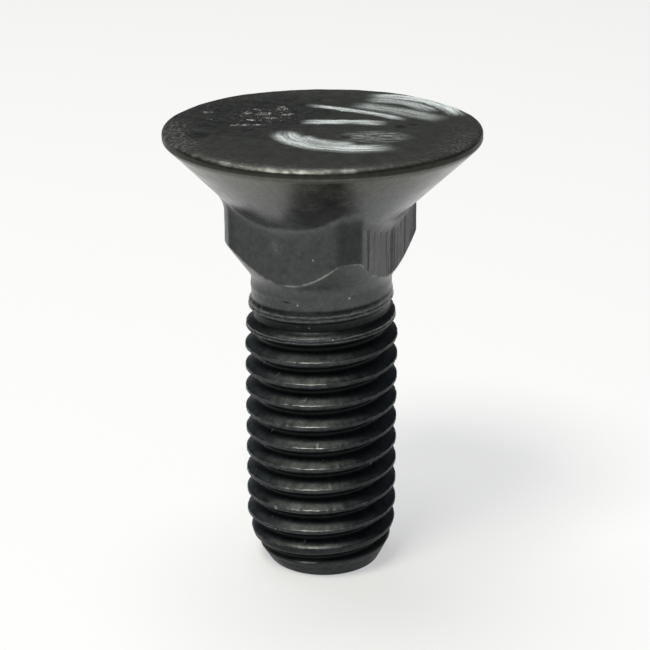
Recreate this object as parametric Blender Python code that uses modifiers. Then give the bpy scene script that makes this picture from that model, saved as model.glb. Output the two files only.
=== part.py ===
"""A plow bolt: a flat countersunk head, a square neck with turned corners and a rolled metric thread.

The bolt is one forging with a rolled thread, so it is one solid. It stands on its point, with the
thread's axis on +Z and the flat of the head uppermost. Lengths are in metres and angles in degrees.
"""

import math

import bmesh
import bpy

# The whole bolt, from the end of the point to the flat of the head
BOLT_LENGTH = 0.0354

# The head: a flat disc with a short rim, which stands a little proud of a countersunk cone
HEAD_DIAMETER = 0.024
HEAD_EDGE_RADIUS = 0.00025
HEAD_RIM_HEIGHT = 0.00084
HEAD_RIM_STEP = 0.00008
HEAD_CONE_ANGLE = 91.0

# The square neck: its corners are turned down, and it ends in a steep cone
NECK_WIDTH = 0.0116
NECK_CORNER_DIAMETER = 0.0149
NECK_CORNER_END = 0.0086
NECK_END_ANGLE = 72.0

# The plain shank, which is the blank that the thread is rolled on
SHANK_DIAMETER = 0.01083

# The rolled thread, right handed. Its depth, the flat of its crest and the hollow of its root follow
# the pitch, as the metric profile has them
THREAD_DIAMETER = 0.01187
THREAD_PITCH = 0.00175
THREAD_ANGLE = 60.0
THREAD_DEPTH = 0.577 * THREAD_PITCH
CREST_WIDTH = 0.137 * THREAD_PITCH
ROOT_HOLLOW = 0.046 * THREAD_PITCH
FULL_THREAD_LENGTH = 0.0191
CREST_RUNOUT = 0.0044
ROOT_RUNOUT = 0.0034
FIRST_CREST_HEIGHT = 0.00135

# The point: a chamfer between the flat end and a slighter lead, which the crests taper along
POINT_DIAMETER = 0.009
POINT_ANGLE = 59.0
POINT_EDGE_RADIUS = 0.0003
LEAD_DIAMETER = 0.01104
LEAD_ANGLE = 27.0

# How far a joined shape reaches into the one that it grows from, and a cutter past what it cuts
OVERLAP = 0.0006
CUT_CLEARANCE = 0.0008

# Turns of the uncut rod below the end of the point: its helix takes up one, and one is spare
ROD_TURNS_BELOW = 2

# Facets: shapes that meet are turned against each other by thirds of a facet, so no edges coincide
TURN_STEPS = 56
ARC_STEPS = 4
FACET_THIRD = 120.0 / TURN_STEPS
SMOOTH_ANGLE = 32.0
MERGE_DISTANCE = 0.000001

STEEL_COLOUR = (0.045, 0.047, 0.046, 1.0)
STEEL_ROUGHNESS = 0.42


def collection_named(name):
    """A collection of this name in the scene."""
    collection = bpy.data.collections.new(name)
    bpy.context.scene.collection.children.link(collection)
    return collection


def blackened_steel():
    """Heat treated steel, blackened and oiled."""
    material = bpy.data.materials.new("blackened_steel")
    material.use_nodes = True
    shader = material.node_tree.nodes["Principled BSDF"]
    shader.inputs["Base Color"].default_value = STEEL_COLOUR
    shader.inputs["Roughness"].default_value = STEEL_ROUGHNESS
    shader.inputs["Metallic"].default_value = 1.0
    return material


def profile_object(name, outline, collection):
    """An object whose mesh is a chain of edges through (radius, height) points, in the XZ plane."""
    mesh = bpy.data.meshes.new(name)
    chain = [(i, i + 1) for i in range(len(outline) - 1)]
    mesh.from_pydata([(radius, 0.0, height) for radius, height in outline], chain, [])
    obj = bpy.data.objects.new(name, mesh)
    collection.objects.link(obj)
    return obj


def add_screw(obj, advance):
    """Sweeps the profile once round Z, rising by advance."""
    screw = obj.modifiers.new("turn", "SCREW")
    screw.axis = "Z"
    screw.angle = math.radians(360.0)
    screw.screw_offset = advance
    screw.steps = TURN_STEPS
    screw.render_steps = TURN_STEPS
    screw.use_merge_vertices = True
    screw.merge_threshold = MERGE_DISTANCE
    screw.use_smooth_shade = True


def turned(name, outline, collection, turn=0.0):
    """A turned solid: the outline runs from the axis at the top, down its outer side, to the axis."""
    obj = profile_object(name, outline, collection)
    add_screw(obj, 0.0)
    obj.rotation_euler.z = math.radians(turn)
    return obj


def as_guide(obj):
    """Keeps an object that only shapes another out of the render."""
    obj.hide_render = True
    obj.display_type = "WIRE"


def add_boolean(obj, other, operation, solver="EXACT"):
    boolean = obj.modifiers.new(f"{operation.lower()} {other.name}", "BOOLEAN")
    boolean.operation = operation
    boolean.solver = solver
    boolean.object = other


def evaluated_mesh(obj):
    """A copy of the object's mesh with its modifiers applied."""
    graph = bpy.context.evaluated_depsgraph_get()
    return bpy.data.meshes.new_from_object(obj.evaluated_get(graph))


def arc(centre, radius, start, end):
    """Points on an arc between two angles in degrees, measured from the outward radius towards +Z."""
    angles = [math.radians(start + (end - start) * i / ARC_STEPS) for i in range(ARC_STEPS + 1)]
    return [(centre[0] + radius * math.cos(a), centre[1] + radius * math.sin(a)) for a in angles]


def half_slope(included_angle):
    """Growth of radius for each unit of height on a cone of this included angle."""
    return math.tan(math.radians(included_angle / 2))


def runout_top(length):
    """Height at which a run-out of this length above the full thread has faded."""
    return FULL_THREAD_LENGTH + length


def body_outline():
    """The turned body: head, shank, and the core that fills the fading thread grooves."""
    head_radius = HEAD_DIAMETER / 2
    shank_radius = SHANK_DIAMETER / 2
    root_radius = THREAD_DIAMETER / 2 - THREAD_DEPTH
    rim_end = BOLT_LENGTH - HEAD_RIM_HEIGHT
    cone_radius = head_radius - HEAD_RIM_STEP
    cone_end = rim_end - (cone_radius - shank_radius) / half_slope(HEAD_CONE_ANGLE)
    edge = (head_radius - HEAD_EDGE_RADIUS, BOLT_LENGTH - HEAD_EDGE_RADIUS)
    core_slope = (shank_radius - root_radius) / ROOT_RUNOUT
    core_end = FULL_THREAD_LENGTH - THREAD_PITCH
    core_radius = root_radius - core_slope * THREAD_PITCH
    outline = [(0.0, BOLT_LENGTH)]
    outline += arc(edge, HEAD_EDGE_RADIUS, 90, 0)
    outline += [
        (head_radius, rim_end),
        (cone_radius, rim_end),
        (shank_radius, cone_end),
        (shank_radius, runout_top(ROOT_RUNOUT)),
        (core_radius, core_end),
        (0.0, core_end),
    ]
    return outline


def neck_outline():
    """What the square neck is turned to: a cylinder over its corners, then the steep end cone."""
    corner_radius = NECK_CORNER_DIAMETER / 2
    corner_end = BOLT_LENGTH - NECK_CORNER_END
    inner_radius = SHANK_DIAMETER / 2 - OVERLAP
    cone_end = corner_end - (corner_radius - inner_radius) / half_slope(NECK_END_ANGLE)
    return [
        (0.0, BOLT_LENGTH + CUT_CLEARANCE),
        (corner_radius, BOLT_LENGTH + CUT_CLEARANCE),
        (corner_radius, corner_end),
        (inner_radius, cone_end),
        (0.0, cone_end),
    ]


def thread_limits_outline():
    """The space that the threaded stretch fills: crests fade into the shank, and the point is chamfered."""
    shank_radius = SHANK_DIAMETER / 2
    crest_radius = THREAD_DIAMETER / 2
    wide_radius = crest_radius + CUT_CLEARANCE
    crest_slope = (crest_radius - shank_radius) / CREST_RUNOUT
    top = runout_top(CREST_RUNOUT) + OVERLAP
    wide_height = FULL_THREAD_LENGTH - CUT_CLEARANCE / crest_slope
    lead_radius = LEAD_DIAMETER / 2
    edge_centre = (POINT_DIAMETER / 2 - POINT_EDGE_RADIUS, POINT_EDGE_RADIUS)
    edge = arc(edge_centre, POINT_EDGE_RADIUS, -POINT_ANGLE / 2, -90)
    chamfer_top = edge[0][1] + (lead_radius - edge[0][0]) / half_slope(POINT_ANGLE)
    lead_top = chamfer_top + (wide_radius - lead_radius) / half_slope(LEAD_ANGLE)
    outline = [
        (0.0, top),
        (shank_radius - OVERLAP * crest_slope, top),
        (wide_radius, wide_height),
        (wide_radius, lead_top),
        (lead_radius, chamfer_top),
    ]
    return outline + edge + [(0.0, 0.0)]


def thread_tooth_outline():
    """One pitch of the thread, from the middle of a crest down to the foot of the next flank."""
    crest_radius = THREAD_DIAMETER / 2
    root_radius = crest_radius - THREAD_DEPTH
    flank_foot = root_radius + ROOT_HOLLOW
    flank_height = (crest_radius - flank_foot) * half_slope(THREAD_ANGLE)
    crest_half = CREST_WIDTH / 2
    return [
        (crest_radius, crest_half),
        (crest_radius, -crest_half),
        (flank_foot, -crest_half - flank_height),
        (root_radius, -THREAD_PITCH / 2),
        (flank_foot, crest_half + flank_height - THREAD_PITCH),
    ]


def threaded_rod(collection):
    """A rod with the full thread all along, longer than the bolt's thread at both ends."""
    top = runout_top(CREST_RUNOUT) + OVERLAP + THREAD_PITCH
    turns_above = math.ceil(top / THREAD_PITCH) + 1
    top_crest = turns_above * THREAD_PITCH
    tooth = thread_tooth_outline()
    outline = [(0.0, top_crest + tooth[0][1])]
    for turn in range(turns_above + ROD_TURNS_BELOW):
        outline += [(radius, top_crest - turn * THREAD_PITCH + height) for radius, height in tooth]
    outline.append((0.0, outline[-1][1]))
    sweep = profile_object("thread_sweep", outline, collection)
    add_screw(sweep, THREAD_PITCH)
    rod_mesh = evaluated_mesh(sweep)
    bpy.data.objects.remove(sweep)
    close_ends(rod_mesh)
    rod = bpy.data.objects.new("rolled_thread", rod_mesh)
    rod.rotation_euler.z = math.radians(FACET_THIRD)
    rod.location.z = FIRST_CREST_HEIGHT + THREAD_PITCH * FACET_THIRD / 360
    collection.objects.link(rod)
    return rod


def close_ends(mesh):
    """Fills the flat openings that a helical sweep leaves at its two ends."""
    shape = bmesh.new()
    shape.from_mesh(mesh)
    bmesh.ops.remove_doubles(shape, verts=shape.verts, dist=MERGE_DISTANCE)
    bmesh.ops.holes_fill(shape, edges=[edge for edge in shape.edges if edge.is_boundary], sides=0)
    bmesh.ops.triangulate(shape, faces=[face for face in shape.faces if len(face.verts) > 4])
    bmesh.ops.recalc_face_normals(shape, faces=shape.faces)
    shape.to_mesh(mesh)
    shape.free()


def square_neck(collection):
    """The square prism of the neck, from inside the head's cone down into the shank."""
    head_radius = HEAD_DIAMETER / 2
    corner_reach = NECK_WIDTH / math.sqrt(2) + OVERLAP
    cone_depth = (head_radius - HEAD_RIM_STEP - corner_reach) / half_slope(HEAD_CONE_ANGLE)
    top = BOLT_LENGTH - HEAD_RIM_HEIGHT - cone_depth
    bottom = neck_outline()[-1][1] - CUT_CLEARANCE
    bpy.ops.mesh.primitive_cube_add(size=1.0, location=(0.0, 0.0, (top + bottom) / 2))
    neck = bpy.context.active_object
    neck.name = "square_neck"
    neck.scale = (NECK_WIDTH, NECK_WIDTH, top - bottom)
    for owner in list(neck.users_collection):
        owner.objects.unlink(neck)
    collection.objects.link(neck)
    add_boolean(neck, turned("neck_turning", neck_outline(), collection, FACET_THIRD), "INTERSECT")
    return neck


def plow_bolt(collection, guides):
    """The finished bolt, joined from its turned body, square neck and rolled thread.

    The exact solver leaves edges with three faces where the crests fade at a slight angle into the
    shank, so the thread's two steps use the manifold one.
    """
    thread = threaded_rod(guides)
    limits = turned("thread_limits", thread_limits_outline(), guides, 2 * FACET_THIRD)
    add_boolean(thread, limits, "INTERSECT", "MANIFOLD")
    neck = square_neck(guides)
    bolt = turned("plow_bolt", body_outline(), collection)
    add_boolean(bolt, neck, "UNION")
    add_boolean(bolt, thread, "UNION", "MANIFOLD")
    for guide in guides.objects:
        as_guide(guide)
    bpy.context.view_layer.update()
    bolt.data = evaluated_mesh(bolt)
    bolt.modifiers.clear()
    bolt.data.shade_smooth()
    bolt.data.set_sharp_from_angle(angle=math.radians(SMOOTH_ANGLE))
    bolt.data.materials.clear()
    bolt.data.materials.append(blackened_steel())
    return bolt


for old in list(bpy.data.objects):
    bpy.data.objects.remove(old, do_unlink=True)

plow_bolt(collection_named("plow_bolt"), collection_named("guides"))
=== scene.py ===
"""A plow bolt standing on its threaded end, on a plain pale floor."""

import math

import bpy
from mathutils import Matrix, Vector, noise


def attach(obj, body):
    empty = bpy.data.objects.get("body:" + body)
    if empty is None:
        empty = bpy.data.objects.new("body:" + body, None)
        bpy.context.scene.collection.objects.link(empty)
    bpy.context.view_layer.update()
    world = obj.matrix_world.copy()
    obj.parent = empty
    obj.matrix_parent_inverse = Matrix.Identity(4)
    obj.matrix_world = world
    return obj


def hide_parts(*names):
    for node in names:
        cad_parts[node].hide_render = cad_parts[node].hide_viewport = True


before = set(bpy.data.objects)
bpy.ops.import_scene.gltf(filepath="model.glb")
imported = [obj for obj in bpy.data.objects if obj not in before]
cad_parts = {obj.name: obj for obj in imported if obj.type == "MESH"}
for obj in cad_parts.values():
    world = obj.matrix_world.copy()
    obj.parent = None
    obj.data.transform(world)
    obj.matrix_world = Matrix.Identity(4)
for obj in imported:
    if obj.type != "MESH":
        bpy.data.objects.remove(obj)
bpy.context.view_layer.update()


# The forged head is a flat disc with a short rim, over a countersunk cone that fits a plow share's hole.
# It is upset hot from bar steel, so the rim's edge is rounded and the faces are never quite even.
# Lengths of the bolt's shape are in millimetres, with the flat of the head at the bolt's full length.
BOLT_LENGTH = 35.4
RIM_RADIUS = 12.0
RIM_EDGE_WIDTH = 0.4
RIM_WORN_WIDTH = 0.85
RIM_EDGE_DROP = 0.28
RIM_WORN_DROP = 0.47
RIM_FOOT_RADIUS = 0.17
RIM_HEIGHT = 0.84
RIM_STEP = 0.08
RIM_FOOT_TURN = -42
SIDE_ROWS = (0.1, 0.02)
STEP_EDGE = 0.03
CONE_SLOPE = math.tan(math.radians(45.5))
FACE_RINGS = 42
CONE_ROWS = 15
ARC_ROWS = 4
EDGE_ROWS = 8
RIM_FOOT = BOLT_LENGTH - RIM_HEIGHT
CONE_RADIUS = RIM_RADIUS - RIM_STEP


def cone_radius(height):
    """Radius of the countersunk cone at a height."""
    return CONE_RADIUS - (RIM_FOOT - height) * CONE_SLOPE


def soft_max(a, b, width):
    """The larger of two radii, with a fillet where they meet."""
    reach = max(width - abs(a - b), 0.0) / width
    return max(a, b) + reach * reach * width / 4


def soft_min(a, b, width):
    """The smaller of two radii, with a rounded edge where they meet."""
    return -soft_max(-a, -b, width)


def arc_points(radius, height, size, start, end):
    """Radius and height of points on an arc about a centre, between two angles in degrees."""
    turns = [math.radians(start + (end - start) * i / ARC_ROWS) for i in range(ARC_ROWS + 1)]
    return [(radius + size * math.cos(turn), height + size * math.sin(turn)) for turn in turns]


def head_rings(edge_width, drop):
    """Rings of the head as radius and height, from near the middle of its face down to the cone."""
    flat_radius = RIM_RADIUS - edge_width
    face = [(flat_radius * i / FACE_RINGS, BOLT_LENGTH) for i in range(1, FACE_RINGS)]
    turns = [math.radians(90.0 - 90.0 * i / EDGE_ROWS) for i in range(EDGE_ROWS + 1)]
    edge_foot = BOLT_LENGTH - drop
    edge = [(flat_radius + edge_width * math.cos(turn), edge_foot + drop * math.sin(turn)) for turn in turns]
    side_foot = RIM_FOOT + RIM_FOOT_RADIUS
    side = [(RIM_RADIUS, side_foot + above) for above in SIDE_ROWS]
    foot = arc_points(RIM_RADIUS - RIM_FOOT_RADIUS, side_foot, RIM_FOOT_RADIUS, 0, RIM_FOOT_TURN)
    return face + edge + side + foot + [(CONE_RADIUS - STEP_EDGE, RIM_FOOT - STEP_EDGE)]


# The square neck keeps the bolt from turning in the share. It is forged square and its corners are turned
# to a cylinder, and below that the die runs it out in a steep cone down to the round shank.
NECK_HALF_WIDTH = 5.8
CORNER_RADIUS = 7.45
CORNER_END = 26.8
NECK_SLOPE = math.tan(math.radians(36.0))
SHANK_RADIUS = 5.415
SHANK_CUT = 23.56
CONE_FILLET = 0.85
EDGE_ROUNDING = 0.12
CORNER_ROUNDING = 0.15
SHANK_FILLET = 0.3
NECK_EDGE_REACH = 0.2
STEEP_FOOT_REACH = 0.12
FILLET_ROWS = 8
NECK_ROWS = 12
NECK_EDGE_ROWS = 6
STEEP_ROWS = 8
SHANK_ROWS = 4


def square_radius(angle):
    """Radius of the square prism in one direction, with its corners turned round."""
    flat = NECK_HALF_WIDTH / max(abs(math.cos(angle)), abs(math.sin(angle)))
    return soft_min(flat, CORNER_RADIUS, CORNER_ROUNDING)


def steep_radius(height):
    """Radius of the steep cone that ends the neck."""
    return CORNER_RADIUS - (CORNER_END - height) * NECK_SLOPE


def neck_radius(angle, height):
    """Radius of the head's cone, the neck and the shank together, in one direction and height."""
    neck = soft_min(square_radius(angle), steep_radius(height), EDGE_ROUNDING)
    body = soft_max(neck, SHANK_RADIUS, SHANK_FILLET)
    return soft_max(body, cone_radius(height), CONE_FILLET)


def spread(top, bottom, rows):
    """Evenly spaced heights from just below top to bottom."""
    return [top + (bottom - top) * i / rows for i in range(1, rows + 1)]


def neck_heights(angle):
    """Heights of the rows between the rim and the shank, gathered where surfaces meet in this direction."""
    prism = square_radius(angle)
    cone_end = RIM_FOOT - (CONE_RADIUS - prism) / CONE_SLOPE
    neck_end = CORNER_END - (CORNER_RADIUS - prism) / NECK_SLOPE
    steep_end = CORNER_END - (CORNER_RADIUS - SHANK_RADIUS) / NECK_SLOPE
    heights = spread(RIM_FOOT - STEP_EDGE, cone_end + CONE_FILLET, CONE_ROWS)
    heights += spread(heights[-1], cone_end - CONE_FILLET, FILLET_ROWS)
    heights += spread(heights[-1], neck_end + NECK_EDGE_REACH, NECK_ROWS)
    heights += spread(heights[-1], neck_end - NECK_EDGE_REACH, NECK_EDGE_ROWS)
    heights += spread(heights[-1], steep_end + STEEP_FOOT_REACH, STEEP_ROWS)
    return heights + spread(heights[-1], SHANK_CUT, SHANK_ROWS)


# The thread is rolled into the plain shank, which is why its crests stand proud of the shank and fade out
# below the neck. The rows of the mesh climb with the helix, so the edges of the crest run along them.
CREST_RADIUS = 5.935
PITCH = 1.75
THREAD_DEPTH = 0.577 * PITCH
CREST_HALF = 0.12
FLANK_SLOPE = 1 / math.tan(math.radians(30.0))
ROOT_RADIUS = CREST_RADIUS - THREAD_DEPTH
FIRST_CREST = 1.35
FULL_THREAD = 19.1
CREST_RUNOUT = 4.4
ROOT_RUNOUT = 3.4
CREST_ROUNDING = 0.09
ROOT_ROUNDING = 0.3
RUNOUT_ROUNDING = 0.04
RUNOUT_FILLET = 0.12
RUNOUT_SHARPENING = 0.115
SHARPENING_START = 2.5
SHARPENING_LENGTH = 1.3
TURN_COLUMNS = 252
MOST_TURNS = 15
TOOTH_HALF = (0.055, 0.095, 0.125, 0.16, 0.25, 0.39, 0.53, 0.66, 0.77)
TOOTH_ROWS = [-up for up in reversed(TOOTH_HALF)] + [0.0] + list(TOOTH_HALF) + [PITCH / 2]


def tooth_radius(offset):
    """Radius of the full thread at an axial distance from the middle of a crest."""
    flank = CREST_RADIUS - (abs(offset) - CREST_HALF) * FLANK_SLOPE
    return soft_max(soft_min(CREST_RADIUS, flank, CREST_ROUNDING), ROOT_RADIUS, ROOT_ROUNDING)


# The point is chamfered before the thread is rolled, so the first crests rise slowly out of it.
# It is flat at the very end, and the bolt stands on it.
POINT_RADIUS = 4.5
POINT_EDGE_RADIUS = 0.3
POINT_EDGE_TURN = -35
POINT_FOOT = 0.22
POINT_SLOPE = math.tan(math.radians(29.5))
LEAD_RADIUS = 5.52
LEAD_SLOPE = math.tan(math.radians(13.5))
LEAD_ROUNDING = 0.1
CUT_ROUNDING = 0.08
POINT_CUT = 0.8
POINT_ROWS = 6
END_RINGS = (0.75, 0.4)
ROW_MARGIN = 0.02


def point_radius(height):
    """Radius that the chamfer and the slighter lead above it allow at a height."""
    chamfer = POINT_RADIUS + (height - POINT_FOOT) * POINT_SLOPE
    lead_start = POINT_FOOT + (LEAD_RADIUS - POINT_RADIUS) / POINT_SLOPE
    return soft_min(chamfer, LEAD_RADIUS + (height - lead_start) * LEAD_SLOPE, LEAD_ROUNDING)


def rolled_radius(offset, height):
    """Radius of the rolled thread, which runs out at the top."""
    runout = CREST_RADIUS - (height - FULL_THREAD) * (CREST_RADIUS - SHANK_RADIUS) / CREST_RUNOUT
    filled = ROOT_RADIUS + (height - FULL_THREAD) * (SHANK_RADIUS - ROOT_RADIUS) / ROOT_RUNOUT
    crest = soft_min(tooth_radius(offset), max(runout, SHANK_RADIUS), RUNOUT_ROUNDING)
    sharpened = min(max((height - FULL_THREAD - SHARPENING_START) / SHARPENING_LENGTH, 0.0), 1.0)
    return soft_max(crest, min(filled, SHANK_RADIUS), RUNOUT_FILLET - RUNOUT_SHARPENING * sharpened)


def thread_radius(offset, height):
    """Radius of the threaded stretch, which is cut by the point at the bottom."""
    return soft_min(rolled_radius(offset, height), point_radius(height), CUT_ROUNDING)


def point_rings():
    """Rings below the thread as radius and height, down to the middle of the flat end."""
    rings = [(point_radius(up), up) for up in spread(POINT_CUT, POINT_EDGE_RADIUS, POINT_ROWS)]
    foot = POINT_RADIUS - POINT_EDGE_RADIUS
    rings += arc_points(foot, POINT_EDGE_RADIUS, POINT_EDGE_RADIUS, POINT_EDGE_TURN, -90)
    return rings + [(foot * share, 0.0) for share in END_RINGS]


# One skin covers the whole bolt, because it is a single forging. Flat rings of points run round the head,
# the neck and the point, and rows that climb with the helix run round the thread in between.
# Each point also carries how light its scale is, how far it has been rubbed bare and how dull it is; the
# lightness holds painted sheen and shade, and the wear painted highlights and glints.
MILLIMETRE = 0.001
CAMERA_AZIMUTH = math.radians(28.3)

# How far to the right of its axis the bolt's middle lies, as pairs of a height and a shift
DRIFT = [
    (0.0, 0.15), (2.0, 0.0), (4.0, -0.07), (12.0, -0.067),
    (24.0, 0.0), (30.0, 0.0), (34.0, 0.13), (BOLT_LENGTH, 0.1),
]

# Unevenness of the face, chips of the rim, and dents with their place, reach and depth
SWELL_DEPTH = 0.022
RIPPLE_DEPTH = 0.016
CHIP_DEPTH = 0.008
DEEP_CHIP_DEPTH = 0.02
DENTS = [
    (-9.2, -2.5, 1.3, 0.055), (-6.9, 0.5, 0.8, 0.02), (1.8, -3.3, 0.6, 0.05), (5.9, -0.3, 0.65, 0.05),
    (6.9, 0.3, 0.5, 0.04), (3.4, -9.3, 1.1, 0.015),
]

# Lightness and roughness of the scale in each place, with painted sheen and shade on the thread and painted
# shade on the point
FACE_TONE = 0.5
RIM_TONE = 0.56
CONE_TONE = 1.2
NECK_TONE = 0.88
CORNER_TONE = 0.56
STEEP_TONE = 1.2
SHANK_TONE = 1.05
LIT_FLANK_TONE = 1.45
SHADED_FLANK_TONE = 0.92
ROOT_SHADE_TONE = 0.24
POINT_TONE = 0.5
POINT_SHADE = 0.36
FACE_ROUGHNESS = 0.46
RIM_ROUGHNESS = 0.5
CONE_ROUGHNESS = 0.24
NECK_ROUGHNESS = 0.34
THREAD_ROUGHNESS = 0.47
CREST_ROUGHNESS = 0.33

# Nicks of the thread, as degrees round from the front and height, and the unevenness of its crests
NICKS = [
    (-64, 17.3), (-38, 17.1), (-13, 15.4), (23, 18.1), (46, 16.4), (6.5, 8.4), (-3, 11.8), (27, 14.6),
    (-15, 3.3), (-37, 6.1), (52, 9.1), (-50, 12.0), (96, 18.2), (112, 12.3), (150, 6.1), (-120, 9.0),
    (-158, 14.8),
]
NICK_DEPTH = 0.06
NICK_CORE = 0.05
NICK_REACH = 0.24
CREST_WOBBLE = 0.03
CREST_JITTER = 0.035
FURROW_DEPTH = 0.03

# How far each edge has been rubbed bare, with a painted highlight on the front of the rim and painted glints
# on the lowest crests in front
RIM_WEAR_AND_HIGHLIGHT = 0.72
LOW_EDGE_WEAR = 0.4
NECK_EDGE_WEAR = 0.77
CORNER_WEAR = 0.25
UPPER_LIP_WEAR = 0.86
LOWER_LIP_WEAR = 0.7
CUT_EDGE_WEAR = 0.8
LOW_CUT_EDGE_WEAR = 0.3
PAINTED_GLINT_WEAR = 0.5
NICK_WEAR = 1.1

# The skin's points, what they carry, its faces and the directions of its columns
points = []
tones = []
wears = []
roughnesses = []
faces = []
angles = [2 * math.pi * column / TURN_COLUMNS for column in range(TURN_COLUMNS)]


def sideways(height):
    """How far the bolt's middle lies off its axis at a height, because it is a little crooked."""
    for (low, low_shift), (high, high_shift) in zip(DRIFT, DRIFT[1:]):
        if height <= high:
            return low_shift + (high_shift - low_shift) * (height - low) / (high - low)
    return DRIFT[-1][1]


def fade(value, start, end):
    """Rises smoothly from 0 at start to 1 at end."""
    share = min(max((value - start) / (end - start), 0.0), 1.0)
    return share * share * (3 - 2 * share)


def add_point(radius, angle, height, tone, wear, roughness):
    """Adds one point of the skin, with the lightness, the wear and the roughness of its scale."""
    shift = sideways(height)
    x = radius * math.cos(angle) + shift * math.cos(CAMERA_AZIMUTH)
    y = radius * math.sin(angle) + shift * math.sin(CAMERA_AZIMUTH)
    points.append(Vector((x, y, height)))
    tones.append(tone)
    wears.append(wear)
    roughnesses.append(roughness)
    return len(points) - 1


def join_rings(upper, lower):
    """Faces between two rings of as many points."""
    for column in range(TURN_COLUMNS):
        right = (column + 1) % TURN_COLUMNS
        faces.append((upper[column], lower[column], lower[right], upper[right]))


def close_with(centre, ring, upward):
    """Faces between a ring and the point in its middle."""
    for column in range(TURN_COLUMNS):
        pair = (ring[column], ring[(column + 1) % TURN_COLUMNS])
        faces.append((centre, *pair) if upward else (centre, *reversed(pair)))


def thread_height(column, row):
    """Height of a helical row at a column, which may be one past the last."""
    turn, place = divmod(row, len(TOOTH_ROWS))
    return FIRST_CREST + PITCH * (turn + column / TURN_COLUMNS) + TOOTH_ROWS[place]


def noise_round(angle, size, up):
    """Noise that varies round the bolt, more finely where its size is greater."""
    return noise.noise(Vector((math.cos(angle) * size, math.sin(angle) * size, up)))


def face_dip(radius, angle):
    """Depth of the dents and the unevenness of the head's face, where the die's scale has marked it."""
    right = radius * math.cos(angle - CAMERA_AZIMUTH)
    away = radius * math.sin(angle - CAMERA_AZIMUTH)
    dip = SWELL_DEPTH * noise.noise(Vector((right * 0.35, away * 0.35, 4.0)))
    dip += RIPPLE_DEPTH * noise.noise(Vector((right * 1.1, away * 1.1, 9.0)))
    for dent_right, dent_away, size, depth in DENTS:
        dip += depth * (1 - fade(math.hypot(right - dent_right, away - dent_away), 0.1 * size, size))
    return dip


def from_front(angle):
    """How far round a direction lies from the one that faces the camera."""
    return math.remainder(angle - CAMERA_AZIMUTH + math.pi / 2, 2 * math.pi)


def rim_rubbing_and_highlight(angle):
    """How much the rim has been rubbed in one direction; the extra rubbing at the front and just left of it
    is a painted highlight.
    """
    elsewhere = 0.3 + 0.35 * fade(noise_round(angle, 2.5, 7.0), -0.1, 0.35)
    return max(elsewhere, 1 - fade(abs(from_front(angle) + 0.3), 0.22, 1.1))


def edge_drop(angle):
    """How far down the rim its rounded edge reaches in one direction."""
    return RIM_EDGE_DROP + (RIM_WORN_DROP - RIM_EDGE_DROP) * rim_rubbing_and_highlight(angle)


def head_finish(radius, angle, height):
    """Tone, wear and roughness of the scale on the head's face and rim, with a painted highlight along the
    front of the rim's edge.
    """
    # Handling wear, raised at the front of the rim as a painted highlight that lightens its edge and its
    # foot
    handled_and_highlit = RIM_WEAR_AND_HIGHLIGHT * rim_rubbing_and_highlight(angle) * (1 + 0.5 * fade(noise_round(angle, 12, 35.0), 0.1, 0.45))
    down = (BOLT_LENGTH - height) / edge_drop(angle)
    if down < 1.0:
        rolled_over = fade(radius, 11.15, 11.85)
        tone = FACE_TONE * (1 + 0.7 * handled_and_highlit * rolled_over) * (1 - 0.2 * down)
        tone += (RIM_TONE - tone) * fade(down, 0.75, 1.0)
        return tone, handled_and_highlit * rolled_over * (1 - fade(down, 0.6, 0.95)), FACE_ROUGHNESS
    low_edge = 1 - fade(abs(height - RIM_FOOT - 0.05), 0.05, 0.16)
    wear = LOW_EDGE_WEAR * low_edge * (0.5 + 0.5 * handled_and_highlit)
    return RIM_TONE + (CONE_TONE - RIM_TONE) * low_edge, wear, RIM_ROUGHNESS - 0.1 * low_edge


def neck_finish(angle, height):
    """Tone, wear and roughness of the scale on the cone, the neck and the shank."""
    prism = square_radius(angle)
    steep = steep_radius(height)
    cone = cone_radius(height)
    flat = NECK_HALF_WIDTH / max(abs(math.cos(angle)), abs(math.sin(angle)))
    on_cone = fade(cone - prism, -0.3, 0.5)
    on_corner = fade(flat, CORNER_RADIUS - 0.5, CORNER_RADIUS + 0.1)
    on_steep = fade(prism - steep, -0.05, 0.1)
    on_shank = fade(SHANK_RADIUS - steep, -0.4, 0.1)
    tone = NECK_TONE + (CORNER_TONE - NECK_TONE) * on_corner
    tone += (STEEP_TONE - tone) * on_steep
    tone += (SHANK_TONE - tone) * on_shank
    tone += (CONE_TONE - tone) * on_cone
    uneven_wear = NECK_EDGE_WEAR + 0.35 * noise_round(angle, 5, 51.0)
    lower_edge = uneven_wear * (1 - fade(abs(steep - prism), 0.0, 0.18))
    corner_edge = CORNER_WEAR * (1 - fade(abs(flat - CORNER_RADIUS), 0.1, 0.4)) * (steep > prism)
    wear = max(lower_edge, corner_edge) * (1 - on_cone)
    return tone, wear, NECK_ROUGHNESS + (CONE_ROUGHNESS - NECK_ROUGHNESS) * on_cone


def shaded_point_tone(angle):
    """Tone of the point, with painted shade that darkens it away from the front."""
    return POINT_TONE - POINT_SHADE * fade(abs(from_front(angle) - 0.15), 0.25, 0.9)


def flank_sheen_and_shade(angle):
    """Tone of the thread's flanks, lightened at the front by a painted sheen and darkened round the sides by
    painted shade.
    """
    return LIT_FLANK_TONE + (SHADED_FLANK_TONE - LIT_FLANK_TONE) * fade(abs(from_front(angle) + 0.2), 0.3, 0.9)


def proudness(height):
    """1 along the full thread, and 0 where its crest has sunk into the shank."""
    thread_end = FULL_THREAD + CREST_RUNOUT
    return 1 - fade(height, thread_end - 1.4, thread_end - 0.3)


def nicked(angle, height):
    """How far a place on the thread lies inside one of its nicks, from 0 to 1."""
    turned_by = from_front(angle)
    gaps = []
    for degrees, nick_height in NICKS:
        aside = CREST_RADIUS * (turned_by - math.radians(degrees))
        gaps.append(math.hypot(aside, height - nick_height))
    return 1 - fade(min(gaps), NICK_CORE, NICK_REACH)


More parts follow.
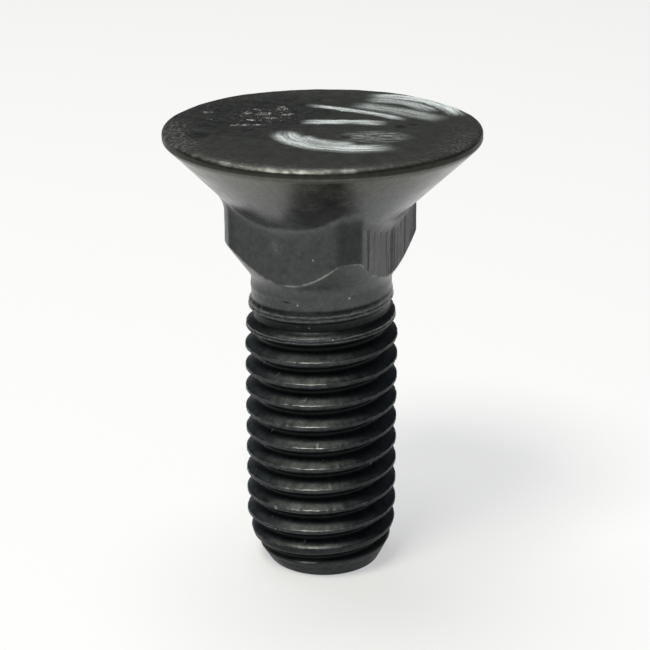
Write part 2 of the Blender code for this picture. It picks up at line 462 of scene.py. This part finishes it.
def thread_finish(offset, angle, height):
    """Tone, wear and roughness of the thread's scale, rubbed on the crests, with painted sheen and shade on
    the flanks and painted shade that blackens the grooves.
    """
    rolled = 1 - fade(height, FULL_THREAD + 1.2, FULL_THREAD + CREST_RUNOUT - 0.6)
    # Painted sheen on the front of the flanks, and painted shade on their sides, down towards the roots and
    # on the flat of the crest
    thread_tone = flank_sheen_and_shade(angle)
    thread_tone += (ROOT_SHADE_TONE - thread_tone) * fade(abs(offset), 0.36, 0.68)
    thread_tone *= 0.6 + 0.4 * fade(abs(offset), 0.08, 0.22)
    # Painted shade in the grooves where the thread begins to run out
    runout_groove_shade = fade(height, FULL_THREAD - 0.6, FULL_THREAD + 0.6)
    runout_groove_shade *= 1 - fade(height, FULL_THREAD + 2.4, FULL_THREAD + 3.4)
    tone = SHANK_TONE + (thread_tone - SHANK_TONE) * rolled
    tone *= 1 - 0.5 * runout_groove_shade * fade(abs(offset), 0.2, 0.5)
    cut_depth = rolled_radius(offset, height) - point_radius(height)
    # Where the point cuts the thread, it takes the point's tone and its painted shade
    tone += (shaded_point_tone(angle) - tone) * fade(cut_depth, -0.05, 0.1)
    lip = (1 - fade(abs(abs(offset) - CREST_HALF), 0.01, 0.06)) * (1 - fade(cut_depth, 0.0, 0.06))
    wear = lip * (UPPER_LIP_WEAR if offset > 0 else LOWER_LIP_WEAR) * proudness(height)
    cut_edge = 1 - fade(abs(cut_depth), 0.0, CUT_ROUNDING)
    cut_wear = CUT_EDGE_WEAR if offset > 0 else LOW_CUT_EDGE_WEAR
    wear = max(wear, cut_edge * (1 - fade(height, 3.5, 5.0)) * cut_wear)
    # Painted glints on the lips and cut edges of the lowest crests, just left of the front
    painted_glint = (1 - fade(abs(from_front(angle) + 0.2), 0.08, 0.2)) * (1 - fade(height, 3.2, 3.8))
    wear += PAINTED_GLINT_WEAR * painted_glint * max(lip, cut_edge) + NICK_WEAR * nicked(angle, height)
    roughness = NECK_ROUGHNESS + (THREAD_ROUGHNESS - NECK_ROUGHNESS) * rolled
    return tone, wear, roughness + (CREST_ROUGHNESS - roughness) * lip * rolled


# Rings of the head, from its face over the rim to the cone
rings = []
edge_widths = [RIM_EDGE_WIDTH + (RIM_WORN_WIDTH - RIM_EDGE_WIDTH) * rim_rubbing_and_highlight(angle) for angle in angles]
profiles = [head_rings(width, edge_drop(angle)) for width, angle in zip(edge_widths, angles)]
for row in range(len(profiles[0])):
    ring = []
    for column, angle in enumerate(angles):
        radius, height = profiles[column][row]
        dip = fade(height, RIM_FOOT + 0.2, BOLT_LENGTH) * face_dip(radius, angle)
        chip = CHIP_DEPTH * noise_round(angle, 14, height * 3)
        chip -= DEEP_CHIP_DEPTH * max(noise_round(angle, 22, height * 4) - 0.2, 0.0)
        outer = radius + chip * fade(radius, 11.0, 11.8)
        finish = head_finish(radius, angle, height)
        ring.append(add_point(outer, angle, height - dip, *finish))
    rings.append(ring)

# Rings of the cone, the neck and the shank
heights = [neck_heights(angle) for angle in angles]
for row in range(len(heights[0])):
    ring = []
    for column, angle in enumerate(angles):
        height = heights[column][row]
        swell_place = Vector((math.cos(angle) * 2.2, math.sin(angle) * 2.2, height * 0.35))
        uneven = 0.03 * noise.noise(swell_place) + 0.012 * noise.noise(swell_place * 3.3)
        uneven *= fade(height, SHANK_CUT, SHANK_CUT + 1.0) * (1 - fade(height, RIM_FOOT - 1.0, RIM_FOOT))
        radius = neck_radius(angle, height) + uneven
        ring.append(add_point(radius, angle, height, *neck_finish(angle, height)))
    rings.append(ring)

# Faces down to the shank, closed in the middle of the head
face_middle = BOLT_LENGTH - face_dip(0.0, 0.0)
close_with(add_point(0.0, 0.0, face_middle, FACE_TONE, 0.0, FACE_ROUGHNESS), rings[0], True)
for upper, lower in zip(rings, rings[1:]):
    join_rings(upper, lower)

# Rows of the thread, which climb with the helix: once round the bolt, each meets the row a turn above it
rows_a_turn = len(TOOTH_ROWS)
row_range = range(-rows_a_turn, rows_a_turn * MOST_TURNS)
thread_columns = []
for column, angle in enumerate(angles):
    thread_column = {}
    for row in row_range:
        height = thread_height(column, row)
        if POINT_CUT + ROW_MARGIN < height < SHANK_CUT - ROW_MARGIN:
            offset = TOOTH_ROWS[row % rows_a_turn]
            wobble = CREST_WOBBLE * noise_round(angle, 9, height * 1.4)
            wobble += CREST_JITTER * noise_round(angle, 38, height * 3)
            wobble *= 1 + 0.8 * fade(height, FULL_THREAD + 1.2, FULL_THREAD + 2.2)
            near_crest = (1 - fade(abs(offset), 0.16, 0.5)) * proudness(height)
            furrow = FURROW_DEPTH * (1 - fade(abs(offset), 0.0, 0.09)) * fade(height, 3.0, 4.5)
            radius = thread_radius(offset, height) - near_crest * (abs(wobble) + furrow)
            radius -= NICK_DEPTH * nicked(angle, height)
            finish = thread_finish(offset, angle, height)
            thread_column[row] = add_point(radius, angle, height + near_crest * wobble, *finish)
    thread_columns.append(thread_column)
thread_columns.append({row - rows_a_turn: index for row, index in thread_columns[0].items()})
for left, right in zip(thread_columns, thread_columns[1:]):
    for row in range(min(right), max(left)):
        corners = [left.get(row), right.get(row), right.get(row + 1), left.get(row + 1)]
        faces.append(tuple(corner for corner in corners if corner is not None))

# Rings of the point, and the faces that join it and the shank to the thread
# The point's rings carry its painted shade away from the front
low_rings = []
for radius, height in [(point_radius(POINT_CUT), POINT_CUT)] + point_rings():
    finishes = [(shaded_point_tone(angle), 0.0, THREAD_ROUGHNESS) for angle in angles]
    low_rings.append([add_point(radius, angle, height, *finish) for angle, finish in zip(angles, finishes)])
for upper, lower in zip(low_rings, low_rings[1:]):
    join_rings(upper, lower)
close_with(add_point(0.0, 0.0, 0.0, POINT_TONE, 0.0, THREAD_ROUGHNESS), low_rings[-1], False)
join_rings(rings[-1], [rows[max(rows)] for rows in thread_columns[:-1]])
join_rings([rows[min(rows)] for rows in thread_columns[:-1]], low_rings[0])

# The bolt's mesh, whose points carry the lightness, the wear and the roughness of the scale
mesh = bpy.data.meshes.new("forged_plow_bolt")
mesh.from_pydata([point * MILLIMETRE for point in points], [], faces)
mesh.attributes.new("tone", "FLOAT", "POINT").data.foreach_set("value", tones)
mesh.attributes.new("wear", "FLOAT", "POINT").data.foreach_set("value", wears)
mesh.attributes.new("roughness", "FLOAT", "POINT").data.foreach_set("value", roughnesses)
mesh.update()
mesh.shade_smooth()
bolt = bpy.data.objects.new("forged_plow_bolt", mesh)
bpy.context.scene.collection.objects.link(bolt)


# The steel is quenched in oil, which leaves a thin black scale that is satin and slightly olive.
# Handling has worn it through along the rim, the lower edge of the neck and the crests of the thread.
steel = bpy.data.materials.new("blackened_steel")
steel.use_nodes = True
nodes = steel.node_tree.nodes
shader = nodes["Principled BSDF"]


def add_node(kind, inputs, **settings):
    """Adds a node to the steel, and sets or connects its inputs by name or place."""
    node = nodes.new(kind)
    for name, value in settings.items():
        setattr(node, name, value)
    for name, value in inputs.items():
        if isinstance(value, bpy.types.NodeSocket):
            steel.node_tree.links.new(value, node.inputs[name])
        else:
            node.inputs[name].default_value = value
    return node


def sum_of(operation, a, b=0.0, c=0.0, clamp=False):
    """A number worked out from one, two or three others."""
    return add_node("ShaderNodeMath", {0: a, 1: b, 2: c}, operation=operation, use_clamp=clamp).outputs[0]


def times(*numbers):
    """Numbers multiplied together."""
    result = numbers[0]
    for number in numbers[1:]:
        result = sum_of("MULTIPLY", result, number)
    return result


def greatest(*numbers):
    """The greatest of some numbers."""
    result = numbers[0]
    for number in numbers[1:]:
        result = sum_of("MAXIMUM", result, number)
    return result


def sloped(value, slope, start, clamp=False):
    """A number that changes evenly with another, from a start value."""
    return sum_of("MULTIPLY_ADD", value, slope, start, clamp)


def rise(value, start, end):
    """A number that rises smoothly from 0 to 1 as a value goes from start to end."""
    inputs = {"Value": value, "From Min": start, "From Max": end}
    return add_node("ShaderNodeMapRange", inputs, interpolation_type="SMOOTHSTEP").outputs["Result"]


def grain(place, scale, detail=3.0, roughness=0.55):
    """Cloudy noise about as many times a millimetre as its scale."""
    inputs = {"Vector": place, "Scale": scale, "Detail": detail, "Roughness": roughness}
    return add_node("ShaderNodeTexNoise", inputs).outputs["Fac"]


def blended(share, first, second):
    """A colour between two others."""
    return add_node("ShaderNodeMix", {0: share, 6: first, 7: second}, data_type="RGBA").outputs[2]


def stretched(place, x, y, z):
    """The same place with each direction scaled by itself."""
    return add_node("ShaderNodeVectorMath", {0: place, 1: (x, y, z)}, operation="MULTIPLY").outputs[0]


def minus(first, second):
    """The way from one place to another."""
    return add_node("ShaderNodeVectorMath", {0: first, 1: second}, operation="SUBTRACT").outputs[0]


def length_of(vector):
    """The length of a vector."""
    return add_node("ShaderNodeVectorMath", {0: vector}, operation="LENGTH").outputs["Value"]


def parts_of(vector):
    """The three numbers of a vector."""
    return add_node("ShaderNodeSeparateXYZ", {0: vector}).outputs


def carried(name):
    """A value that the points of the skin carry."""
    return add_node("ShaderNodeAttribute", {}, attribute_name=name).outputs["Fac"]


# Places on the bolt in millimetres, and the values that its skin carries
bolt_place = nodes.new("ShaderNodeTexCoord")
on_bolt = stretched(bolt_place.outputs["Object"], 1 / MILLIMETRE, 1 / MILLIMETRE, 1 / MILLIMETRE)
upward = parts_of(on_bolt)[2]
tone = carried("tone")
wear = carried("wear")
satin = carried("roughness")
broad = grain(on_bolt, 0.22)
cloudy = grain(on_bolt, 0.9, 4.0)
fine = grain(on_bolt, 5.0, 5.0, 0.6)

# Scale, which is olive on the head and grey on the neck. Lower down it goes from grey where the tone is high
# to a painted blue shade where the tone is low, as in the grooves
OLIVE_SCALE = (0.080, 0.083, 0.069, 1.0)
GREY_SCALE = (0.072, 0.076, 0.076, 1.0)
BLUE_SHADE_SCALE = (0.056, 0.065, 0.069, 1.0)
browner = sloped(sum_of("SUBTRACT", broad, 0.5), 2.0, upward)
light_scale = blended(rise(browner, 31.0, 34.5), GREY_SCALE, OLIVE_SCALE)
shade_tinted_scale = blended(rise(tone, 0.95, 1.4), BLUE_SHADE_SCALE, GREY_SCALE)
scale_colour = blended(rise(browner, 18.0, 24.0), shade_tinted_scale, light_scale)

# Places on the head's face, measured as they are seen in front: right and away from the camera
FACE_START = BOLT_LENGTH - 0.3
FACE_FULL = BOLT_LENGTH - 0.14
turning = {"Vector": on_bolt, "Angle": -CAMERA_AZIMUTH}
turned = add_node("ShaderNodeVectorRotate", turning, rotation_type="Z_AXIS").outputs[0]
on_face = rise(parts_of(turned)[2], FACE_START, FACE_FULL)
flat_place = stretched(turned, 1.0, 1.0, 0.0)


def patch(right, away, reach_right, reach_away):
    """A soft patch of the face, 1 in its middle and 0 outside its reach."""
    share = stretched(minus(flat_place, (right, away, 0.0)), 1 / reach_right, 1 / reach_away, 0.0)
    return rise(length_of(share), 1.0, 0.4)


# Chalk that has been swept over the face in loose arcs, each given by its ellipse's middle and reach,
# the angles where it starts and ends in degrees, its half width and its strength
CHALK_SWEEPS = [
    ((2.6, -1.8), (5.2, 4.6), 170, 304, 1.3, 1.05),
    ((2.4, -2.0), (4.0, 3.2), 190, 276, 0.9, 0.85),
    ((0.6, -13.2), (15.0, 14.4), 99, 72, 0.8, 1.0),
    ((-12.0, -20.0), (28.5, 28.5), 68, 49, 0.6, 1.1),
    ((4.4, 2.8), (5.9, 6.3), -4, 100, 0.9, 1.3),
    ((4.0, 2.8), (4.6, 5.0), 10, 100, 0.9, 0.75),
    ((-12.0, -20.0), (30.3, 30.3), 62, 45, 1.2, 0.6),
]
CHALK_SMUDGE = (4.0, -3.2, 3.2, 2.2)
SMUDGE_STRENGTH = 0.4
CHALK_COLOUR = (0.72, 0.78, 0.78, 1.0)
waves = add_node("ShaderNodeTexNoise", {"Vector": flat_place, "Scale": 0.8, "Detail": 4.0}).outputs["Color"]
waving = {0: minus(waves, (0.5, 0.5, 0.5)), 1: (0.6, 0.6, 0.0), 2: flat_place}
wavy = add_node("ShaderNodeVectorMath", waving, operation="MULTIPLY_ADD").outputs[0]


def chalk_sweep(centre, reach, start, end, half_width, strength):
    """One sweep of chalk along part of an ellipse, between two angles in degrees."""
    share = stretched(minus(wavy, (*centre, 0.0)), 1 / reach[0], 1 / reach[1], 0.0)
    ring = length_of(share)
    steepness = length_of(stretched(share, 1 / reach[0], 1 / reach[1], 0.0))
    beside = sum_of("DIVIDE", times(ring, sum_of("SUBTRACT", ring, 1.0)), steepness)
    parts = parts_of(share)
    angle = sum_of("ARCTAN2", parts[1], parts[0])
    middle = math.radians((start + end) / 2)
    half_sweep = math.radians(abs(end - start) / 2)
    turn = sum_of("WRAP", sum_of("SUBTRACT", angle, middle), math.pi, -math.pi)
    ends = rise(sum_of("ABSOLUTE", turn), half_sweep, half_sweep * 0.55)
    inputs = {0: times(turn, 0.3 * reach[0]), 1: times(beside, 3.5), 2: centre[0]}
    along = add_node("ShaderNodeCombineXYZ", inputs).outputs[0]
    streak = rise(grain(along, 1.0, 4.0, 0.7), 0.36, 0.62)
    edge = rise(sum_of("ABSOLUTE", beside), half_width * 1.1, half_width * 0.25)
    return times(ends, edge, sloped(streak, 0.7, 0.36), strength)


smudged = rise(grain(stretched(flat_place, 0.6, 2.4, 1.0), 1.5, 4.0, 0.7), 0.4, 0.62)
chalk = times(patch(*CHALK_SMUDGE), SMUDGE_STRENGTH, smudged)
chalk = greatest(chalk, *(chalk_sweep(*sweep) for sweep in CHALK_SWEEPS))
dusty = sloped(rise(grain(flat_place, 6.0, 4.0, 0.7), 0.35, 0.6), 0.4, 0.6)
chalk = sum_of("MULTIPLY", times(chalk, dusty), on_face, clamp=True)

# Wear that has gone through the scale, along the edges and near the rim. Where it runs highest, at the nicks
# and in the painted highlight and glints of the rim and the lowest crests, it is brighter still.
BARE_STEEL = (0.27, 0.265, 0.25, 1.0)
GLINT_STEEL = (0.55, 0.54, 0.51, 1.0)
LEFT_SCUFFS = (-10.4, -2.6, 3.2, 5.4)
RIGHT_SCUFFS = (9.8, -4.6, 3.0, 4.4)
rubbed = sloped(grain(on_bolt, 2.2, 5.0, 0.65), 0.9, wear)
worn = times(rise(rubbed, 0.95, 1.45), sloped(fine, 0.5, 0.6))
polished_and_glints = times(rise(wear, 0.95, 1.3), worn)
near_rim = rise(length_of(flat_place), 8.8, 11.3)
scuffs = rise(grain(flat_place, 3.0, 6.0, 0.75), 0.49, 0.61)
sides = greatest(patch(*LEFT_SCUFFS), times(patch(*RIGHT_SCUFFS), 0.35))
scuffed = times(scuffs, near_rim, sloped(sides, 0.8, 0.2), on_face)

# Pits on the face whose edges glint, painted as near-white flecks, in a field and in patches, each with its
# place and its reach
FLECKED_PATCHES = [
    (-5.5, 0.3, 2.3, 0.5), (-5.2, 1.7, 1.4, 0.4), (-5.6, 3.9, 0.7, 0.6), (-4.4, 3.6, 1.0, 0.8),
    (-3.8, 2.4, 1.0, 0.6), (-3.0, 5.2, 0.8, 1.3), (-2.5, 3.4, 0.8, 0.6), (-8.8, 4.2, 0.8, 0.4),
    (-8.4, 2.0, 0.4, 0.4), (-5.0, 5.0, 0.6, 0.4),
]
PITTED_FIELD = (-4.6, 3.2, 4.4, 3.4)
PAINTED_GLINT_COLOUR = (0.88, 0.89, 0.86, 1.0)
pitted = times(patch(*PITTED_FIELD), 0.5)
pitted = greatest(pitted, *(patch(*flecked_patch) for flecked_patch in FLECKED_PATCHES))
flecks = grain(stretched(flat_place, 0.5, 1.0, 1.0), 4.4, 5.0, 0.85)
painted_glint_flecks = rise(sloped(pitted, 0.16, flecks), 0.675, 0.7)
painted_glint_flecks = times(painted_glint_flecks, sloped(rise(fine, 0.4, 0.6), 0.75, 0.25), on_face)
hollowed = times(rise(sloped(pitted, 0.3, cloudy), 0.66, 0.76), rise(flecks, 0.45, 0.6), on_face)
bare = greatest(worn, times(scuffed, 0.8), painted_glint_flecks)


def spot(centre, reach, flatness=1.0):
    """A soft spot of the surface about a place, 1 in its middle."""
    return rise(length_of(stretched(minus(on_bolt, centre), 1.0, 1.0, flatness)), reach, reach * 0.4)


# Knocks through the scale of the neck and the shank, with their place, reach and strength, and a dark tick
KNOCKS = [
    ((-0.7, -5.8, 27.4), 0.75, 0.22), ((2.42, -5.8, 26.9), 0.12, 0.7), ((4.2, -3.42, 23.5), 0.13, 1.0),
]
RAGGED_REACH = 0.4
ragged = rise(grain(on_bolt, 3.0, 4.0, 0.7), 0.44, 0.58)
for centre, reach, strength in KNOCKS:
    knock = spot(centre, reach) if reach < RAGGED_REACH else times(spot(centre, reach), ragged)
    bare = greatest(bare, times(knock, strength))
tick = spot((-0.07, -5.41, 23.1), 0.42, 4.0)

# Upright scoring of the two neck flats that the trimming die has sheared
SCORED_FROM = 24.2
SCORED_TO = 30.0
facing = parts_of(bolt_place.outputs["Normal"])
on_neck = times(rise(upward, SCORED_FROM, SCORED_FROM + 0.3), rise(upward, SCORED_TO, SCORED_TO - 0.5))
sheared = times(rise(sum_of("ABSOLUTE", facing[0]), 0.93, 0.99), on_neck)
scoring = rise(grain(stretched(on_bolt, 0.0, 1.0, 0.045), 1.5, 3.0, 0.6), 0.38, 0.52)
scored = times(sheared, sum_of("SUBTRACT", scoring, 1.0))

# Specks of dust and bright metal, a few to each turn of the thread and fewer above it
dots = add_node("ShaderNodeTexVoronoi", {"Vector": on_bolt, "Scale": 1.15}, feature="F1")
speck_size = times(rise(parts_of(dots.outputs["Color"])[0], 0.6, 1.0), 0.08)
ragged_distance = sloped(fine, 0.16, dots.outputs["Distance"])
specks = rise(sum_of("SUBTRACT", ragged_distance, speck_size), 0.1, 0.07)
specks = times(specks, sloped(rise(upward, 24.5, 22.5), 0.45, 0.2))

# The scale's mottling, which is strongest at the back left of the face and in the thread
LEFT_BACK = (-6.0, 3.5, 10.0, 9.0)
mottled = sloped(grain(on_bolt, 2.2, 6.0, 0.7), 0.65, times(cloudy, 0.35))
left_back = times(patch(*LEFT_BACK), on_face)
unevenness = sloped(left_back, 5.0, 1.8)
unevenness = sloped(rise(upward, 24.0, 20.0), 1.8, unevenness)
mottle = sloped(sum_of("SUBTRACT", mottled, 0.5), unevenness, 1.0)
# Painted shade in the face's dents, darker for the deeper ones, and in its pits
dents = (times(patch(right, away, size, size), min(depth * 15, 0.8)) for right, away, size, depth in DENTS)
dent_and_pit_shade = times(greatest(0.0, *dents, times(hollowed, 0.65)), on_face)
outside_pit_shade = sum_of("SUBTRACT", 1.0, greatest(dent_and_pit_shade, times(tick, 0.7)))
shade = times(sloped(scored, 0.5, 1.0), outside_pit_shade, sloped(left_back, -0.42, 1.0))
lightness = times(tone, greatest(mottle, 0.3), shade)

# Colour, from the scale up to the chalk that lies on it
toned = add_node("ShaderNodeVectorMath", {0: scale_colour, "Scale": lightness}, operation="SCALE").outputs[0]
colour = blended(bare, toned, BARE_STEEL)
colour = blended(greatest(specks, times(polished_and_glints, 0.5)), colour, GLINT_STEEL)
colour = blended(painted_glint_flecks, colour, PAINTED_GLINT_COLOUR)
chalk = times(chalk, sloped(dent_and_pit_shade, -1.0, 1.0))
colour = blended(chalk, colour, CHALK_COLOUR)
steel.node_tree.links.new(colour, shader.inputs["Base Color"])

# Metal, which is weakest under the face's thick scale, none under chalk and little under the painted glint
# flecks
scale_metal = sloped(on_face, -0.4, 0.9)
scale_metal = sloped(rise(upward, 24.0, 19.0), -0.1, scale_metal)
metal = times(greatest(scale_metal, bare), sum_of("SUBTRACT", 1.0, chalk), sloped(painted_glint_flecks, -0.85, 1.0))
steel.node_tree.links.new(metal, shader.inputs["Metallic"])

# Roughness, which chalk raises and scoring and the painted glint flecks lower
dullness = sloped(sum_of("SUBTRACT", cloudy, 0.5), 0.3, satin)
dullness = sloped(sum_of("SUBTRACT", fine, 0.5), 0.1, dullness)
dullness = sloped(scored, -0.15, dullness)
dullness = sloped(painted_glint_flecks, -0.2, dullness)
dullness = sloped(chalk, 0.5, dullness, clamp=True)
steel.node_tree.links.new(dullness, shader.inputs["Roughness"])

# Relief of the scale, the pits, the scoring and the scuffs
BUMP_DISTANCE = 0.000012
relief = times(sloped(mottled, 3.0, fine), sloped(on_face, 0.8, 0.2))
relief = sloped(hollowed, -3.0, relief)
relief = sloped(scored, 2.5, relief)
relief = sloped(scuffed, -1.0, relief)
bump = add_node("ShaderNodeBump", {"Height": relief, "Distance": BUMP_DISTANCE, "Strength": 1.0})
steel.node_tree.links.new(bump.outputs[0], shader.inputs["Normal"])
mesh.materials.append(steel)

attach(bolt, "root")
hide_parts("plow_bolt")


# The floor is a wide sheet of plain pale card, which takes the soft shadow of the bolt.
# Half of what the camera and the steel see of it is an even white glow, so it also serves as the backdrop.
FLOOR_HALF = 3.0
CARD_COLOUR = (0.93, 0.93, 0.93, 1.0)
CARD_ROUGHNESS = 0.9
GLOW_SHARE = 0.5
floor_corners = [
    (-FLOOR_HALF, -FLOOR_HALF, 0.0), (FLOOR_HALF, -FLOOR_HALF, 0.0),
    (FLOOR_HALF, FLOOR_HALF, 0.0), (-FLOOR_HALF, FLOOR_HALF, 0.0),
]
floor_mesh = bpy.data.meshes.new("pale_floor")
floor_mesh.from_pydata(floor_corners, [], [(0, 1, 2, 3)])
floor = bpy.data.objects.new("pale_floor", floor_mesh)
bpy.context.scene.collection.objects.link(floor)
card = bpy.data.materials.new("pale_card")
card.use_nodes = True
card_nodes = card.node_tree.nodes
card_links = card.node_tree.links
card_shader = card_nodes["Principled BSDF"]
card_shader.inputs["Base Color"].default_value = CARD_COLOUR
card_shader.inputs["Roughness"].default_value = CARD_ROUGHNESS
ray = card_nodes.new("ShaderNodeLightPath")
seen = card_nodes.new("ShaderNodeMath")
seen.operation = "MAXIMUM"
card_links.new(ray.outputs["Is Camera Ray"], seen.inputs[0])
card_links.new(ray.outputs["Is Glossy Ray"], seen.inputs[1])
glow_share = card_nodes.new("ShaderNodeMath")
glow_share.operation = "MULTIPLY"
glow_share.inputs[1].default_value = GLOW_SHARE
card_links.new(seen.outputs[0], glow_share.inputs[0])
glow = card_nodes.new("ShaderNodeEmission")
card_mix = card_nodes.new("ShaderNodeMixShader")
card_links.new(glow_share.outputs[0], card_mix.inputs[0])
card_links.new(card_shader.outputs[0], card_mix.inputs[1])
card_links.new(glow.outputs[0], card_mix.inputs[2])
card_links.new(card_mix.outputs[0], card_nodes["Material Output"].inputs["Surface"])
floor_mesh.materials.append(card)


# Two soft boxes light the bolt, as in a small product studio: a warm one high in front, left of the camera,
# and a larger white one nearly overhead, behind and to the left. The room itself is dim and slightly blue.
WARM = (1.0, 0.98, 0.88)
WHITE = (1.0, 1.0, 1.0)
ROOM_COLOUR = (0.085, 0.094, 0.108, 1.0)
LAMP_AIM = Vector((0.0, 0.0, 0.02))


def add_softbox(name, azimuth, elevation, distance, size, power, colour):
    """A square lamp that faces the bolt, from a direction in degrees round it and above the floor."""
    data = bpy.data.lights.new(name, "AREA")
    data.shape = "RECTANGLE"
    data.size = size
    data.size_y = size
    data.energy = power
    data.color = colour
    lamp = bpy.data.objects.new(name, data)
    bpy.context.scene.collection.objects.link(lamp)
    turn = math.radians(azimuth)
    climb = math.radians(elevation)
    away = Vector((math.sin(turn) * math.cos(climb), -math.cos(turn) * math.cos(climb), math.sin(climb)))
    lamp.location = LAMP_AIM + away * distance
    lamp.rotation_euler = away.to_track_quat("Z", "Y").to_euler()


add_softbox("key_softbox", -6.0, 61.0, 0.7, 0.24, 3.1, WARM)
add_softbox("overhead_panel", -122.0, 77.0, 0.9, 0.5, 4.2, WHITE)

world = bpy.data.worlds.new("studio")
bpy.context.scene.world = world
world.use_nodes = True
world.node_tree.nodes["Background"].inputs["Color"].default_value = ROOM_COLOUR
world.node_tree.nodes["Background"].inputs["Strength"].default_value = 1.0
bpy.context.scene.view_settings.view_transform = "Standard"


# The camera stands close to the bolt and a little above it, on a long lens.
# Its distance, height and slight roll are the ones that give the bolt's outline in the picture.
CAMERA_DISTANCE = 0.15079
CAMERA_ELEVATION = math.radians(20.565)
CAMERA_ROLL = math.radians(0.1746)
AIM_HEIGHT = 0.019506
AIM_RIGHT = 0.000256
SENSOR_WIDTH = 36.0
FOCAL_LENGTH = 107.68
NEAREST_SEEN = 0.01
FARTHEST_SEEN = 50.0
camera_data = bpy.data.cameras.new("camera")
camera_data.sensor_width = SENSOR_WIDTH
camera_data.lens = FOCAL_LENGTH
camera_data.clip_start = NEAREST_SEEN
camera_data.clip_end = FARTHEST_SEEN
camera = bpy.data.objects.new("camera", camera_data)
bpy.context.scene.collection.objects.link(camera)
backward = Vector((
    math.sin(CAMERA_AZIMUTH) * math.cos(CAMERA_ELEVATION),
    -math.cos(CAMERA_AZIMUTH) * math.cos(CAMERA_ELEVATION),
    math.sin(CAMERA_ELEVATION),
))
rightward = Vector((math.cos(CAMERA_AZIMUTH), math.sin(CAMERA_AZIMUTH), 0.0))
skyward = backward.cross(rightward)
picture_right = rightward * math.cos(CAMERA_ROLL) - skyward * math.sin(CAMERA_ROLL)
picture_up = rightward * math.sin(CAMERA_ROLL) + skyward * math.cos(CAMERA_ROLL)
aim = Vector((0.0, 0.0, AIM_HEIGHT)) + rightward * AIM_RIGHT
camera_turn = Matrix((picture_right, picture_up, backward)).transposed().to_4x4()
camera.matrix_world = Matrix.Translation(aim + backward * CAMERA_DISTANCE) @ camera_turn
bpy.context.scene.camera = camera
